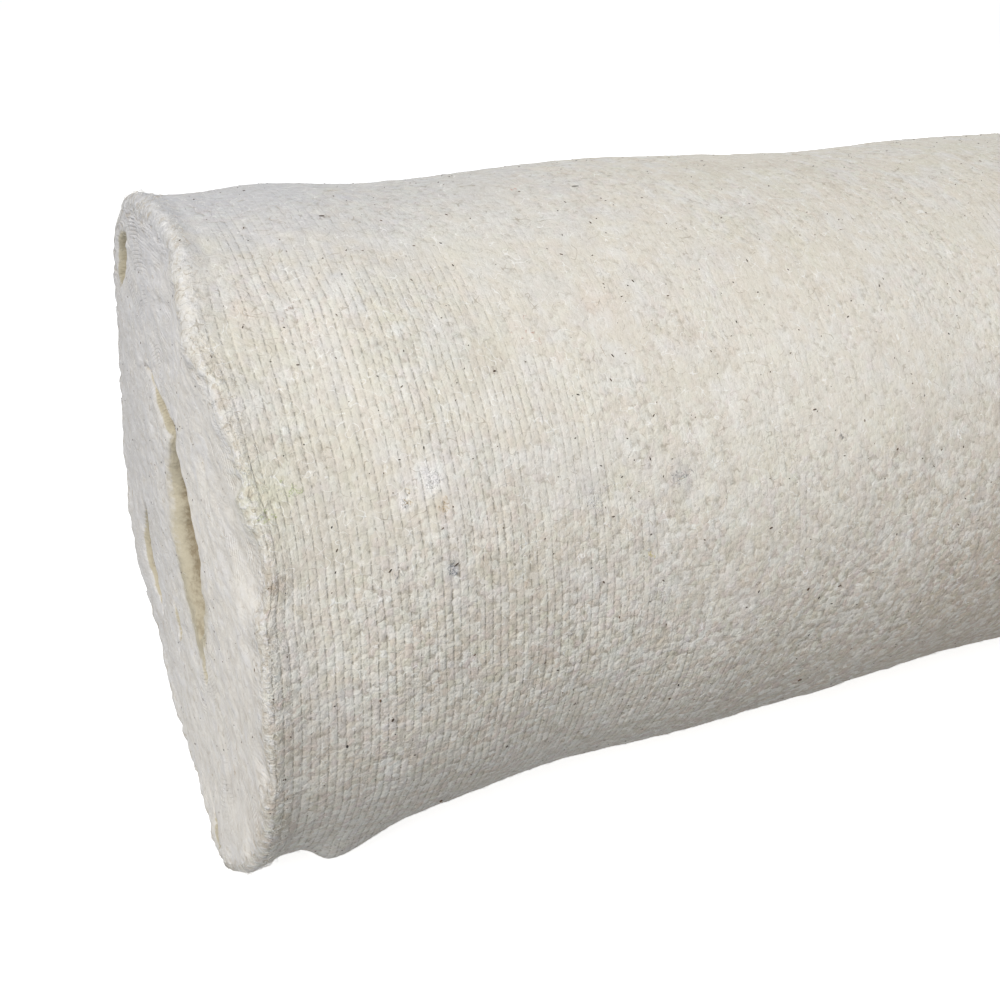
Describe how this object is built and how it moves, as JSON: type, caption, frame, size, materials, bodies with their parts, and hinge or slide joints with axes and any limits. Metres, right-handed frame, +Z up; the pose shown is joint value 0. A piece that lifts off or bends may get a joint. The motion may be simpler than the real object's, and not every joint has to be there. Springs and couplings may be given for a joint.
{
  "type": "roll of stitch-bonded cotton cloth",
  "caption": "Thick coreless roll of off-white stitch-bonded cotton cloth, lying on its side, with an open lens-shaped hollow at its uneven end.",
  "frame": {"origin": "on the floor, under the middle of the roll", "axes": "+X along the roll's axis, from its uneven open end to its far end; +Z up; -Y is the front, the side that shows in the picture"},
  "size_m": [0.8119, 0.4456, 0.4387],
  "materials": {
    "cotton_cloth": "soft matt unbleached cotton, ribbed by rows of chain stitches round the roll, fuzzy, with seed specks"
  },
  "bodies": {
    "root": {"fabric_roll": "cotton_cloth"}
  },
  "joints": []
}
